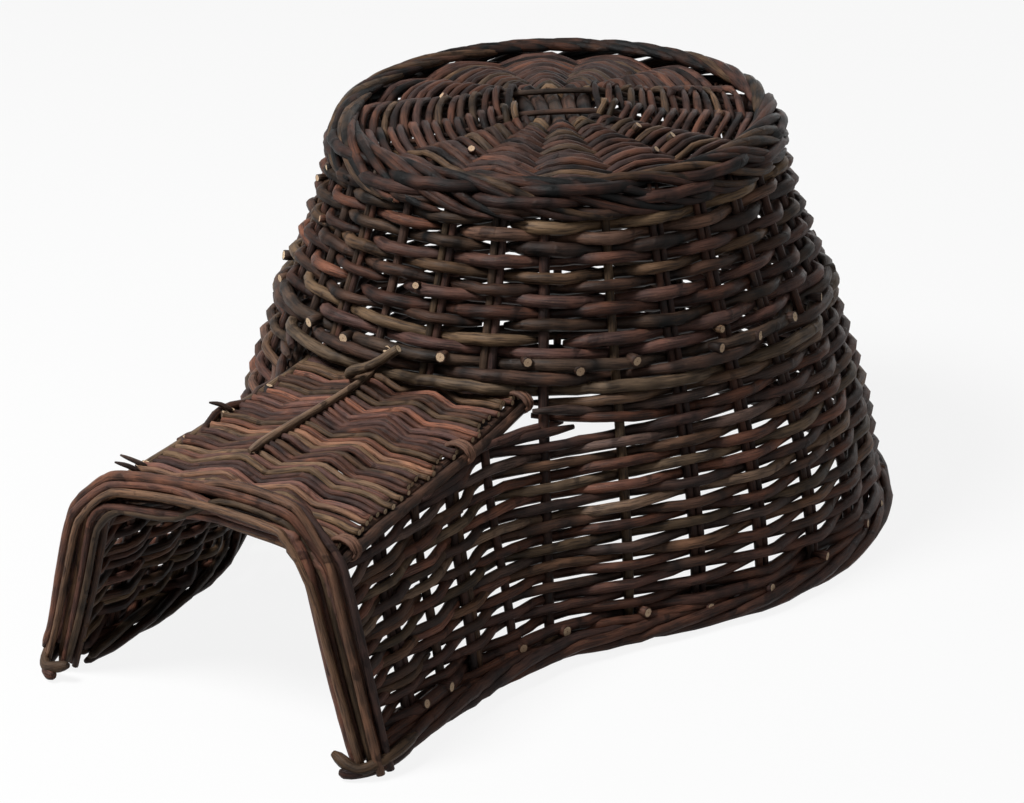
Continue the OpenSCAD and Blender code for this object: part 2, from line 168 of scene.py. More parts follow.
def make_bark(name, deep, plain, warm, pale):
    material = bpy.data.materials.new(name)
    material.use_nodes = True
    tree = material.node_tree
    shader = tree.nodes["Principled BSDF"]
    rod = place_node(tree, "ShaderNodeAttribute", attribute_name="rod")
    tint = place_node(tree, "ShaderNodeAttribute", attribute_name="tint")
    parts = place_node(tree, "ShaderNodeSeparateXYZ")
    wire(tree, tint.outputs["Vector"], parts.inputs[0])
    grain = place_node(tree, "ShaderNodeGroup", node_tree=streaks)
    wire(tree, rod.outputs["Vector"], grain.inputs["Rod"])
    patchy = math_node(tree, "SUBTRACT", grain.outputs["Patch"], 0.5)
    hue = math_node(tree, "ADD", parts.outputs["X"], math_node(tree, "MULTIPLY", patchy, 2.2), True)
    colour = mix_colour(tree, hue, plain, warm)
    colour = mix_colour(tree, ramp(tree, parts.outputs["Z"], 0.6, 1.1), colour, pale)
    dark_streak = math_node(tree, "MULTIPLY", ramp(tree, grain.outputs["Streak"], 0.54, 0.34), 0.82)
    colour = mix_colour(tree, dark_streak, colour, deep)
    colour = mix_colour(tree, math_node(tree, "MULTIPLY", grain.outputs["Bud"], 0.6), colour, deep)
    colour = mix_colour(tree, math_node(tree, "MULTIPLY", grain.outputs["Speck"], 0.4), colour, pale)
    value = place_node(tree, "ShaderNodeHueSaturation")
    blotch = math_node(tree, "MULTIPLY", patchy, 1.7)
    brightness = math_node(tree, "ADD", math_node(tree, "ADD", parts.outputs["Y"], blotch), 0.45)
    wire(tree, brightness, value.inputs["Value"])
    wire(tree, colour, value.inputs["Color"])
    wire(tree, value.outputs[0], shader.inputs["Base Color"])
    dullness = math_node(tree, "ADD", math_node(tree, "MULTIPLY", grain.outputs["Streak"], 0.35), 0.36)
    wire(tree, dullness, shader.inputs["Roughness"])
    bump = place_node(tree, "ShaderNodeBump")
    bump.inputs["Strength"].default_value = BARK_BUMP
    bump.inputs["Distance"].default_value = BARK_DEPTH_M
    wire(tree, grain.outputs["Height"], bump.inputs["Height"])
    wire(tree, bump.outputs[0], shader.inputs["Normal"])
    shader.inputs["Specular IOR Level"].default_value = 0.1
    return material


BARKS = {
    "bark_dark": make_bark("bark_dark", (0.006, 0.003, 0.003), (0.041, 0.024, 0.021), (0.064, 0.027, 0.017),
                           (0.105, 0.068, 0.037)),
    "bark_red": make_bark("bark_red", (0.008, 0.004, 0.003), (0.060, 0.031, 0.026), (0.100, 0.040, 0.024),
                          (0.135, 0.086, 0.047)),
    "bark_grey": make_bark("bark_grey", (0.009, 0.005, 0.004), (0.062, 0.040, 0.033), (0.080, 0.040, 0.026),
                           (0.140, 0.095, 0.057)),
}
print("barks:", sorted(BARKS))

# %% Pale cut wood with a dark pith
def make_cut_wood():
    material = bpy.data.materials.new("cut_wood")
    material.use_nodes = True
    tree = material.node_tree
    shader = tree.nodes["Principled BSDF"]
    rod = place_node(tree, "ShaderNodeAttribute", attribute_name="rod")
    flat = place_node(tree, "ShaderNodeVectorMath", operation="MULTIPLY")
    flat.inputs[1].default_value = (1, 1, 0)
    wire(tree, rod.outputs["Vector"], flat.inputs[0])
    reach = place_node(tree, "ShaderNodeVectorMath", operation="LENGTH")
    wire(tree, flat.outputs[0], reach.inputs[0])
    distance = reach.outputs["Value"]
    rings = math_node(tree, "SINE", math_node(tree, "MULTIPLY", distance, 70))
    colour = mix_colour(tree, ramp(tree, rings, -1.0, 1.0), (0.40, 0.28, 0.17), (0.60, 0.47, 0.32))
    stain = ramp(tree, noise(tree, rod.outputs["Vector"], 11.0, (1, 1, 1), 3.0), 0.45, 0.75)
    colour = mix_colour(tree, stain, colour, (0.24, 0.15, 0.09))
    colour = mix_colour(tree, ramp(tree, distance, 0.08, 0.04), colour, (0.16, 0.09, 0.05))
    tint = place_node(tree, "ShaderNodeAttribute", attribute_name="tint")
    parts = place_node(tree, "ShaderNodeSeparateXYZ")
    wire(tree, tint.outputs["Vector"], parts.inputs[0])
    weathered = math_node(tree, "MULTIPLY", parts.outputs["X"], 0.7)
    colour = mix_colour(tree, weathered, colour, (0.22, 0.13, 0.075))
    wire(tree, colour, shader.inputs["Base Color"])
    shader.inputs["Roughness"].default_value = 0.8
    return material


CUT_WOOD = make_cut_wood()
print("cut wood ready")

# %% [markdown]
# ## Growing a rod
# A rod is a ring of edges that is extruded again and again, each new ring carried to the next
# place on the rod's line and scaled to its thickness there. A bevelled curve could do the same,
# but the rings let every vertex keep the straightened coordinates that the bark needs.
# All lines are in millimetres from the middle of the round body, and one matrix brings them home.
# The same matrix lets the house lean by one degree, as the hand-made one does.

# %% The rod maker
LEAN = Matrix(((1, 0, 0.0164, 0), (0, 1, 0.0112, 0), (0, 0, 1, 0), (0, 0, 0, 1)))
HOME = Matrix.Translation((0, BODY_Y / 1000, 0)) @ Matrix.Scale(0.001, 4) @ LEAN
RNG = random.Random(11)
SLOTS = {part["node"]: part["material_slot"] for part in frame["record"]["subparts"]}
BARK_RIM = 0.00016  # metres of bark at a cut end, per millimetre of radius
TIP_SHARES, VERTS_MOST = (0.5, 0.88), 10000
BARK_LENGTH, BARK_RADIUS, BARK_SCALE = 400, 0.35, 10


def mix(a, b, t):
    return a + (b - a) * t


def ring_places(line, radii):
    places, run = [], 0.0
    for i, (point, out) in enumerate(line):
        ahead = line[min(i + 1, len(line) - 1)][0] - line[max(i - 1, 0)][0]
        ahead.normalize()
        side = (out - ahead * out.dot(ahead)).normalized()
        third = ahead.cross(side)
        if i:
            run += (point - line[i - 1][0]).length
        turned = Matrix((side, third, ahead)).transposed().to_4x4()
        places.append((HOME @ Matrix.Translation(point) @ turned @ Matrix.Scale(radii[i], 4), run))
    return places


def close_end(bm, edges, radius, cut):
    faces = bmesh.ops.edgeloop_fill(bm, edges=edges, mat_nr=0, use_smooth=False)["faces"]
    if cut:
        rim = bmesh.ops.inset_region(bm, faces=faces, thickness=radius * BARK_RIM, use_even_offset=True)
        for face in rim["faces"]:
            face.smooth = False
        wood = bmesh.ops.poke(bm, faces=[f for f in faces if f.is_valid])
        for face in wood["faces"]:
            face.material_index = 1
            face.smooth = False


def by_vertices(face):
    """A number that gives the faces of a rod the same order in each run."""
    a, b, c = sorted(v.index for v in face.verts)[:3]
    return (a * VERTS_MOST + b) * VERTS_MOST + c


def grow(line, radii, tint, sides=8, cut=(False, False)):
    """One rod as a mesh; an end that isn't cut is rounded off."""
    bm = bmesh.new()
    along_layer = bm.verts.layers.float_vector.new("rod")
    tint_layer = bm.verts.layers.float_vector.new("tint")
    start = RNG.uniform(0, BARK_LENGTH)
    radii = list(radii)
    for last_rings, cut_off in zip(((0, 1), (-1, -2)), cut):
        if not cut_off:
            for at, share in zip(last_rings, TIP_SHARES):
                radii[at] *= share
    places = ring_places(line, radii)
    ring = bmesh.ops.create_circle(bm, segments=sides, radius=1, matrix=places[0][0])["verts"]
    edges = list(dict.fromkeys(e for v in ring for e in v.link_edges))
    first = edges
    for k, v in enumerate(ring):
        angle = 2 * math.pi * k / sides
        x, y = math.cos(angle) * BARK_RADIUS, math.sin(angle) * BARK_RADIUS
        v[along_layer] = Vector((x, y, start / BARK_SCALE))
        v[tint_layer] = Vector(tint)
    for (here, _), (there, run) in zip(places, places[1:]):
        grown = bmesh.ops.extrude_edge_only(bm, edges=edges)["geom"]
        ring = [g for g in grown if isinstance(g, bmesh.types.BMVert)]
        edges = [g for g in grown if isinstance(g, bmesh.types.BMEdge)]
        bmesh.ops.transform(bm, matrix=there @ here.inverted(), verts=ring)
        for v in ring:
            v[along_layer].z = (start + run) / BARK_SCALE
    for face in bm.faces:
        face.smooth = True
    close_end(bm, first, radii[0], cut[0])
    close_end(bm, edges, radii[-1], cut[1])
    bmesh.ops.recalc_face_normals(bm, faces=bm.faces)
    bm.verts.index_update()
    bm.faces.sort(key=by_vertices)
    rod = bpy.data.meshes.new("rod")
    bm.to_mesh(rod)
    bm.free()
    return rod


def make_piece(node, rods, shade=(0.0, 1.0)):
    """Joins a node's rods; shade is how dark and bright they may be."""
    bm = bmesh.new()
    for rod in rods:
        rod.setdefault("tint", (RNG.random(), mix(*shade, RNG.random() ** 1.5), RNG.random()))
        grown = grow(**rod)
        bm.from_mesh(grown)
        bpy.data.meshes.remove(grown)
    mesh = bpy.data.meshes.new(node + ".willow")
    bm.to_mesh(mesh)
    bm.free()
    piece = bpy.data.objects.new(node + ".willow", mesh)
    bpy.context.scene.collection.objects.link(piece)
    slot = SLOTS[node]
    mesh.materials.append(BARKS[slot])
    mesh.materials.append(CUT_WOOD)
    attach(piece, "root")
    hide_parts(node)


print("slots used:", sorted(set(SLOTS.values())))

# %% [markdown]
# ## Where the stakes stand
# The stakes are the standing rods that all the others weave round. They lean in along one smooth
# curve from the ground to the rim, and the tunnel has two straight rows of its own.
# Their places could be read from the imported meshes, but a function also gives every height between,
# so these few repeat the construction's lines. Only the tunnel's head is drawn a little narrower
# than the solids, as the photograph shows it.

# %% The lines of the house
GROUND_R, RIM_R, STAKE_TOP = 194.0, 125.0, 250.0
STAKES, STATIONS, BAYS, DOOR = 28, 34, 5, 2
STEP = 2 * math.pi / STAKES
WALE_LOW, WALE_HIGH, RIM_LOW = 132.7, 151.3, 231.0
MOUTH_REACH, MOUTH_HALF, ROOF_HALF = 325.0, 104.0, 79.0
TUNNEL_FLARE, DOOR_FLARE, DOOR_FOOT_Y, HEAD_REACH, HEAD_ABOVE = 18, 7, 184, 150, 2
EDGE_AT_MOUTH, EDGE_AT_BODY, EDGE_ROOM, ROOF_RUN = 75.0, 67.0, 5.0, 170


def wall_r(z):
    return RIM_R + (GROUND_R - RIM_R) * math.sin(math.pi / 2 * max(0.0, 1 - z / STAKE_TOP)) ** 1.5


ROOF_BODY_Y = 8 - math.sqrt(wall_r(WALE_LOW) ** 2 - ROOF_HALF ** 2)
ROOF_BODY_Z, ROOF_FALL = 124.73, 18.0


def roof_z(y):
    return ROOF_BODY_Z - ROOF_FALL * (ROOF_BODY_Y - y) / (ROOF_BODY_Y + MOUTH_REACH)


def roof_edge(y):
    """Half the roof's width: the roof narrows from the mouth to the body."""
    return mix(EDGE_AT_MOUTH, EDGE_AT_BODY, min(1.0, max(0.0, (y + MOUTH_REACH) / ROOF_RUN)))


def tunnel_foot(i):
    t = i / BAYS
    return Vector((MOUTH_HALF + TUNNEL_FLARE * t ** 3, -mix(MOUTH_REACH, DOOR_FOOT_Y, t), 0))


def tunnel_head(i):
    y = -mix(MOUTH_REACH, HEAD_REACH, i / BAYS)
    return Vector((roof_edge(y) + EDGE_ROOM, y, roof_z(y) + HEAD_ABOVE))


def round_stake(k, z):
    angle = (k + 0.5) * STEP
    if k == DOOR and z < WALE_LOW:
        head = Vector((wall_r(WALE_LOW) * math.sin(angle), -wall_r(WALE_LOW) * math.cos(angle), WALE_LOW))
        return tunnel_foot(BAYS).lerp(head, z / WALE_LOW)
    spread = DOOR_FLARE * max(0.0, 1 - z / WALE_LOW) if k == DOOR + 1 else 0
    r = wall_r(z) + spread
    return Vector((r * math.sin(angle), -r * math.cos(angle), z))


def stake(k, z):
    m = k % STAKES
    p = round_stake(min(m, STAKES - 1 - m), z)
    return Vector((p.x if m < STAKES / 2 else -p.x, p.y, z))


def skirt(i, z):
    j = min(i, STATIONS - 1 - i)
    if j < BAYS:
        p = tunnel_foot(j).lerp(tunnel_head(j), z / tunnel_head(j).z)
    else:
        p = round_stake(j - BAYS + DOOR, z)
    return Vector((p.x if 2 * i < STATIONS else -p.x, p.y, z))


print("wall radius at the wale:", round(wall_r((WALE_LOW + WALE_HIGH) / 2), 1))
print("roof height at the mouth:", round(roof_z(-MOUTH_REACH), 1))

# %% [markdown]
# ## Weaving
# A woven rod passes in front of one stake and behind the next. Its line runs through the stakes
# on a smooth spline and sways out and in by the thickness of stake and rod together.
# A mesh pattern or a bump map would be quicker, but would show no gaps and no ends.

# %% The weaver's line
STRAY_OUT, STRAY_UP = 0.2, 0.22


def spline_point(a, b, c, d, t):
    return 0.5 * ((2 * b) + (c - a) * t + (2 * a - 5 * b + 4 * c - d) * t * t
                  + (3 * b - a - 3 * c + d) * t ** 3)


def sway_ease(t):
    return t - 0.4 * math.sin(2 * math.pi * t) / (2 * math.pi)


def weave(posts, leans, sides, reach, per=5):
    """A line past the posts, where sides is 1 outside and -1 inside; the end posts only guide it."""
    line = []
    for i in range(1, len(posts) - 2):
        for s in range(per + (i == len(posts) - 3)):
            t = s / per
            near = [posts[j] for j in (i - 1, i, i + 1, i + 2)]
            point = spline_point(*near, t)
            ahead = spline_point(*near, t + 0.02) - spline_point(*near, t - 0.02)
            out = ahead.cross(leans[i].lerp(leans[i + 1], t)).normalized()
            sway = mix(sides[i], sides[i + 1], sway_ease(t))
            stray = out * RNG.gauss(0, STRAY_OUT) + Vector((0, 0, RNG.gauss(0, STRAY_UP)))
            line.append((point + out * reach * sway + stray, out))
    return line


def smooth(points, per=6, out=Vector((0, 0, 1))):
    guide = [points[0] * 2 - points[1]] + list(points) + [points[-1] * 2 - points[-2]]
    line = [(spline_point(*guide[i:i + 4], s / per), out) for i in range(len(guide) - 3) for s in range(per)]
    return line + [(points[-1], out)]


def taper(line, butt, tip, wobble=0.06):
    phase = RNG.uniform(0, 6)
    n = len(line) - 1
    return [mix(butt, tip, i / n) * (1 + wobble * math.sin(i * 0.37 + phase) * math.sin(i * 0.11 + 2 * phase)
                                     + RNG.uniform(-0.04, 0.04)) for i in range(n + 1)]


def body_round(z, start, count, behind, reach, uneven=1.1):
    """A rod round the body from stake start over count bays; behind(k) says where it is inside."""
    ks = range(start - 1, start + count + 2)
    phase = RNG.uniform(0, 6)
    rise = {k: z + uneven * (math.sin(k * 0.9 + phase) + 0.6 * math.sin(k * 2.3 + 2 * phase)) for k in ks}
    posts = [stake(k, rise[k]) for k in ks]
    leans = [(stake(k, rise[k] + 8) - stake(k, rise[k] - 8)).normalized() for k in ks]
    return weave(posts, leans, [-1 if behind(k) else 1 for k in ks], reach)


def one_in_three(first):
    """Behind one stake in three, counted from stake first."""
    return lambda k: (k - first) % STAKES % 3 == 0 or k - first == STAKES


print("one round of the upper wall has", len(body_round(190, 0, 28, lambda k: k % 2, 6)), "rings")

# %% [markdown]
# ## The standing stakes
# About half of the stakes have a second one beside them, which shows in the gaps of the weave.
# Each is a slim rod along the wall's curve, thicker at its foot. A straight cylinder would be
# quicker, but would leave the curve that the weave follows.

# %% Stakes of the wall and the door
STAKE_FOOT, STAKE_HEAD, STAKE_STEPS = 2, 239, 14
DOUBLED, POST_R = 0.55, 3.4


def standing(k, low, high, beside=0.0, radius=3.0):
    line = []
    for s in range(STAKE_STEPS + 1):
        z = mix(low, high, s / STAKE_STEPS)
        p = stake(k, z)
        tangent = Vector((-p.y, p.x, 0)).normalized()
        line.append((p + tangent * beside, Vector((p.x, p.y, 0)).normalized()))
    return dict(line=line, radii=taper(line, radius, radius * 0.86), sides=7)


def stake_pair(k, low, high):
    if RNG.random() < DOUBLED:
        return [standing(k, low, high, -2.3, 2.6), standing(k, low, high, 2.2, 2.4)]
    return [standing(k, low, high)]


wall = [rod for k in range(DOOR + 1, STAKES - DOOR - 1) for rod in stake_pair(k, STAKE_FOOT, STAKE_HEAD)]
make_piece("wall_stakes", wall, (0.0, 0.5))
front = [rod for k in range(-DOOR, DOOR) for rod in stake_pair(k, WALE_LOW + 1, STAKE_HEAD)]
make_piece("front_stakes", front, (0.0, 0.5))
posts = [standing(k, STAKE_FOOT, STAKE_HEAD, beside, POST_R)
         for k, beside in ((DOOR, -4.5), (STAKES - DOOR - 1, 4.5))]
make_piece("door_posts", posts, (0.0, 0.3))
print("stakes in the wall:", len(wall))


# %% Stakes of the tunnel
def tunnel_stake(i, side, beside=0.0, radius=3.0):
    foot, head = tunnel_foot(i), tunnel_head(i)
    line = []
    for s in range(9):
        p = foot.lerp(head, mix(0.02, 1.0, s / 8))
        bent = p.x + 1.2 * math.sin(s * 0.8)
        line.append((Vector((side * bent, p.y + beside, p.z)), Vector((side, 0, 0))))
    return dict(line=line, radii=taper(line, radius, radius * 0.9), sides=7, cut=(False, True))


make_piece("tunnel_stakes", [tunnel_stake(i, side, b, 2.7) for i in range(1, BAYS) for side in (1, -1)
                             for b in ((-2.4, 2.6) if i % 2 else (0.0,))])
make_piece("mouth_posts", [tunnel_stake(0, side, 0, 3.3) for side in (1, -1)])
print("tunnel stakes made")

# %% [markdown]
# ## The upper wall
# Twelve close rounds of plain weave: in front of one stake, behind the next, and each round the
# other way from the one below. A round is two rods, each thick at the butt and thin at the tip,
# that meet behind a stake, out of sight. A closed ring would be simpler, but has no butt and no tip.

# %% Weave the upper wall
def stub(point, direction, length, radius):
    direction = direction.normalized()
    hint = Vector((0, 0, 1)) if abs(direction.z) < 0.8 else Vector((1, 0, 0))
    line = [(point + direction * length * s / 3, hint) for s in range(4)]
    return dict(line=line, radii=[radius * 0.9, radius, radius, radius * 0.97], cut=(False, True))


def outward(k):
    angle = (k + 0.5) * STEP
    return Vector((math.sin(angle), -math.cos(angle), 0))


def flush_butt(spot, z, radius, reach):
    """The cut butt of a rod that was slipped in beside stake spot; only its end shows."""
    aside, rise = RNG.uniform(-0.2, 0.6), RNG.uniform(-0.1, 0.3)
    heading = outward(spot) + outward(spot + STAKES // 4) * aside + Vector((0, 0, rise))
    root = outward(spot) * (wall_r(z) + 1.5) + Vector((0, 0, z))
    return stub(root, heading, (reach - 1.5) * heading.length, radius)


UPPER_ROWS, UPPER_REACH, UPPER_BUTT, UPPER_TIP = 12, 5.2, 3.85, 3.15
HALF_ROUND = STAKES // 2
upper_pitch = (RIM_LOW - WALE_HIGH) / UPPER_ROWS
for row in range(1, UPPER_ROWS + 1):
    z = WALE_HIGH + (row - 0.5) * upper_pitch
    inside = lambda k, row=row: (k - HALF_ROUND - row) % 2 == 0
    start = HALF_ROUND + row % 2 + 2 * RNG.randrange(0, HALF_ROUND)
    rods = []
    for part in (0, HALF_ROUND):
        line = body_round(z, start + part, HALF_ROUND, inside, UPPER_REACH)
        stout = RNG.uniform(0.92, 1.08)
        rods.append(dict(line=line[1:-1], radii=taper(line[1:-1], UPPER_BUTT * stout, UPPER_TIP * stout, 0.08)))
    if row % 2:
        rods += [flush_butt(RNG.uniform(0, STAKES), z + upper_pitch / 2, 2.4, 8.0) for _ in range(2)]
    make_piece(f"upper_row_{row:02d}", rods, (-0.2, 0.85))
print("upper rows:", UPPER_ROWS, "pitch", round(upper_pitch, 2))

# %% [markdown]
# ## The wale
# A band of three heavier rods, each in front of two stakes and behind one, locks the wall above
# the tunnel. New rods were added along it, and their cut butts look out in a row of pale dots.
# Painted dots would lie flat, so every butt is a short rod. One loose tip stands up over the roof.

# %% Weave the wale and its cut butts
WALE_REACH, BUTT_SHARE = 6.6, 0.85
LOOSE_TIP = ((-30, -168, 131), (-20, -176, 139), (-4, -180, 147), (12, -177, 159))
wale_pitch = (WALE_HIGH - WALE_LOW) / 3
for row in (1, 2, 3):
    first = HALF_ROUND + row
    line = body_round(WALE_LOW + (row - 0.5) * wale_pitch, first, STAKES, one_in_three(first), WALE_REACH, 0.5)
    rods = [dict(line=line, radii=taper(line, 3.9, 3.4, 0.1))]
    if row == 3:
        for k in range(STAKES):
            if RNG.random() < BUTT_SHARE:
                rods.append(flush_butt(k + RNG.uniform(0.2, 0.6), WALE_HIGH + RNG.uniform(-2.5, 2.0),
                                       RNG.uniform(2.7, 3.5), RNG.uniform(9.6, 11.2)))
        loose = smooth([Vector(p) for p in LOOSE_TIP], 5)
        rods.append(dict(line=loose, radii=taper(loose, 3.4, 2.6), cut=(False, True)))
    make_piece(f"wale_rod_{row}", rods, (-0.2, 0.6))
print("wale rods: 3")

# %% [markdown]
# ## The lower wall
# Eighteen rounds run from one side of the mouth by the back to the other, bunched along the tunnel and
# spread on the body, each of two rods that meet behind a stake. Three more go round the body alone,
# close under the wale, and end just past the door posts, so a bright three-cornered gap stays open
# beside each post. Short rods fill in under the roof's edge and near the mouth. Sixteen even rows,
# as in the solids, would be simpler, but the photograph shows rods that crowd and part.

# %% Weave the lower wall
LOWER_ROWS, THROUGH, SKIRT_LOW, LOWER_REACH = 16, 18, 22.0, 4.7
TUNNEL_ROD_R, BODY_ROD_R = 2.55, 3.15
UNDER_ROOF, BY_POST, ON_BODY = (6.0, 6.0, 6.5, 7.0, 8.0), (108.0, 113.0), 114.5
BODY_ONLY = ((122.0, 120.5), (126.0, 125.5), (129.8, 130.5))
POST_PLACES = (BAYS, STATIONS - 1 - BAYS)


def fan_top(i):
    """Height of the highest through rod at a stake."""
    j = min(i, STATIONS - 1 - i)
    if j < BAYS:
        return roof_z(tunnel_head(j).y) - UNDER_ROOF[j]
    return BY_POST[j - BAYS] if j < BAYS + 2 else ON_BODY


def under_edge(i):
    """Height of the short rods under the roof's edge."""
    j = min(i, STATIONS - 1 - i)
    return 119.0 if j == BAYS else roof_z(tunnel_head(j).y) + 2.5 - 1.0 * j


def skirt_round(heights, sides, reach, first=0, last=STATIONS - 1):
    inner = range(first, last + 1)
    posts = [skirt(i, heights(i)) for i in inner]
    leans = [(skirt(i, heights(i) + 3) - skirt(i, heights(i) - 3)).normalized() for i in inner]
    posts = [posts[0] * 2 - posts[1]] + posts + [posts[-1] * 2 - posts[-2]]
    leans = [leans[0]] + leans + [leans[-1]]
    flips = [sides(i) for i in range(first - 1, last + 2)]
    return weave(posts, leans, flips, reach)


def behind_hoop(end):
    """Carries the end of a rod on behind the hoop's leg."""
    return end[0] + Vector((math.copysign(5, -end[0].x), -8, 0)), end[1]


def past_post(end, before):
    """Carries the end of a rod on past the door post."""
    return end[0] + (end[0] - before[0]).normalized() * 11, end[1]


def lower_rods(row, height, first=0, last=STATIONS - 1):
    phase = RNG.uniform(0, 6)
    uneven = lambda i: height(i) + 0.8 * math.sin(i * 1.7 + phase)
    flip = lambda i: 1 if (i + row + 1) % 2 == 0 else -1
    spans = [(first, last)]
    if last - first > 12:
        middle = RNG.randrange(12, 22)
        middle += 1 if flip(middle) > 0 else 0
        spans = [(first, middle), (middle, last)]
    rods = []
    for ends in spans:
        line = skirt_round(uneven, flip, LOWER_REACH, *ends)
        if ends[0] in POST_PLACES:
            line = [past_post(line[0], line[1])] + line
        elif ends[0] == 0:
            line = [behind_hoop(line[0])] + line
        if ends[1] in POST_PLACES:
            line = line + [past_post(line[-1], line[-2])]
        elif ends[1] == STATIONS - 1:
            line = line + [behind_hoop(line[-1])]
        places = [mix(*ends, s / (len(line) - 1)) for s in range(len(line))]
        radii = [mix(TUNNEL_ROD_R, BODY_ROD_R, min(1.0, min(i, STATIONS - 1 - i) / 8))
                 * (1 + 0.06 * math.sin(i * 2 + phase)) for i in places]
        rods.append(dict(line=line, radii=radii))
    return rods


shares = [[] for _ in range(LOWER_ROWS)]


def share_of(row):
    """A round's node: eighteen rounds share sixteen nodes."""
    return shares[(row - 1) * LOWER_ROWS // THROUGH]


for row in range(1, THROUGH + 1):
    climb = (row - 1) / (THROUGH - 1)
    share_of(row).extend(lower_rods(row, lambda i: mix(SKIRT_LOW, fan_top(i), climb)))
for n, (at_post, on_body) in enumerate(BODY_ONLY):
    close_up = lambda i: at_post if i in POST_PLACES else on_body
    shares[n - len(BODY_ONLY)] += lower_rods(THROUGH + 1 + n, close_up, *POST_PLACES)
for first in (2, STATIONS - 1 - BAYS):
    for beat in (1, 2):
        shares[-1] += lower_rods(THROUGH + beat, lambda i: under_edge(i) + 3 - 3 * beat, first, first + 3)
for row in range(3, THROUGH, 3):
    beside = lambda i: mix(SKIRT_LOW, fan_top(i), (row - 0.7) / (THROUGH - 1))
    for first, last in ((0, RNG.randrange(2, 5)), (STATIONS - 1 - RNG.randrange(2, 5), STATIONS - 1)):
        share_of(row).extend(lower_rods(row + 1, beside, first, last))
for i, rods in enumerate(shares, 1):
    make_piece(f"lower_row_{i:02d}", rods, (0.0, 0.98))
print("lower rods:", sum(len(rods) for rods in shares))

# %% [markdown]
# ## The border on the ground
# The foot of the wall is a thick roll: rods twisted slowly round each other outside and inside the
# stakes, with two heavy woven rods on top. Cut ends look out of it all the way round. One thick tube
# would have nearly the same outline, but none of the twist.

# %% Roll the border
BORDER_Z, STRANDS, STRAND_SPREAD, STRAND_R = 4.5, 4, 3.9, 3.0
FOOT_RODS = ((((118, -312, 14), (115, -333, 10), (106, -346, 6), (90, -346, 11)), 3.3),
             (((117, -314, 8), (113, -334, 5), (105, -347, 4), (97, -350, 4)), 3.0))


def reach_mouth(line, by):
    """Carries both ends on past the mouth posts."""
    ends = [(p + Vector((0, -by, 0)), out) for p, out in (line[0], line[-1])]
    return [ends[0]] + line + [ends[1]]


def border_line(off, by):
    line = skirt_round(lambda i: BORDER_Z, lambda i: 1, 0.0)
    return reach_mouth([(p + out * off, out) for p, out in line], by)


def border_roll(off, by, lay, lift):
    """Strands twisted round one line; lay is the length of one turn."""
    line = border_line(off, by)
    rods = []
    for strand in range(STRANDS):
        turned, run = [], 0.0
        for i, (p, out) in enumerate(line):
            if i:
                run += (p - line[i - 1][0]).length
            angle = 2 * math.pi * (strand / STRANDS + run / lay)
            rise = Vector((0, 0, lift + STRAND_SPREAD * math.sin(angle)))
            turned.append((p + out * STRAND_SPREAD * math.cos(angle) + rise, out))
        rods.append(dict(line=turned, radii=taper(turned, STRAND_R * 1.06, STRAND_R * 0.92)))
    return rods


def foot_rods(side):
    """Two ends of the border that turn in front of a foot of the mouth."""
    rods = []
    for corners, radius in FOOT_RODS:
        line = smooth([Vector((side * x, y, z)) for x, y, z in corners], 5)
        rods.append(dict(line=line, radii=taper(line, radius, radius)))
    return rods


outer = border_roll(8.0, 4.0, 210, 2.6)
make_piece("border_rod_outer", outer + foot_rods(1) + foot_rods(-1), (0.0, 0.5))
make_piece("border_rod_inner", border_roll(-8.2, 3.0, 190, 5.4), (-0.1, 0.4))
rods = []
for beat, z, thick in ((0, 16.0, 3.7), (1, 12.6, 3.2)):
    uneven = lambda i: z + 0.8 * math.sin(i * 2.3 + z)
    line = reach_mouth(skirt_round(uneven, lambda i: -1 if (i + beat) % 3 == 0 else 1, 6.2), 4.0)
    rods.append(dict(line=line, radii=taper(line, thick, thick * 0.93, 0.1), cut=(True, False)))
for i in range(1, STATIONS - 1):
    spot = skirt(i, 13 + RNG.uniform(-3, 6))
    ahead = (skirt(min(i + 1, STATIONS - 1), 13) - skirt(i - 1, 13)).normalized()
    out = ahead.cross(Vector((0, 0, 1)))
    heading = out + ahead * RNG.uniform(-0.2, 0.5) + Vector((0, 0, RNG.uniform(0, 0.3)))
    root = spot + out * 2 + ahead * RNG.uniform(-6, 6)
    rods.append(stub(root, heading, 8.8 * heading.length, RNG.uniform(2.7, 3.7)))
make_piece("border_wale", rods, (0.0, 0.6))
print("border rolled")

# %% [markdown]
# ## The rim
# At the top the stakes were bent over and rolled into a thick rim: each long stroke starts inside,
# crosses the crest and runs down outside, under the next. So the strokes are laid one after the
# other, each less than a stake further on, and every one thins towards its ends. A ring with a
# twisted pattern would be quicker, but its outline would stay smooth.

# %% Roll the rim
LOW_SIDE, RIM_TILT = math.radians(34), 6.3
RIM_STROKES, RIM_TIP, RIM_SHADE = 42, 2.9, (-0.43, 0.12)
RIM_INSIDE, RIM_ACROSS, RIM_START, RIM_END, RIM_ARCH = 7, 17.5, 246.0, 229.0, 9.5
RIM_PITCH, RIM_REACH = 6.6, 6.2


def tilt(x, y):
    """The rim isn't level: it dips by 6 mm on one side and rises by as much on the other."""
    return -RIM_TILT * (x * math.sin(LOW_SIDE) - y * math.cos(LOW_SIDE)) / RIM_R


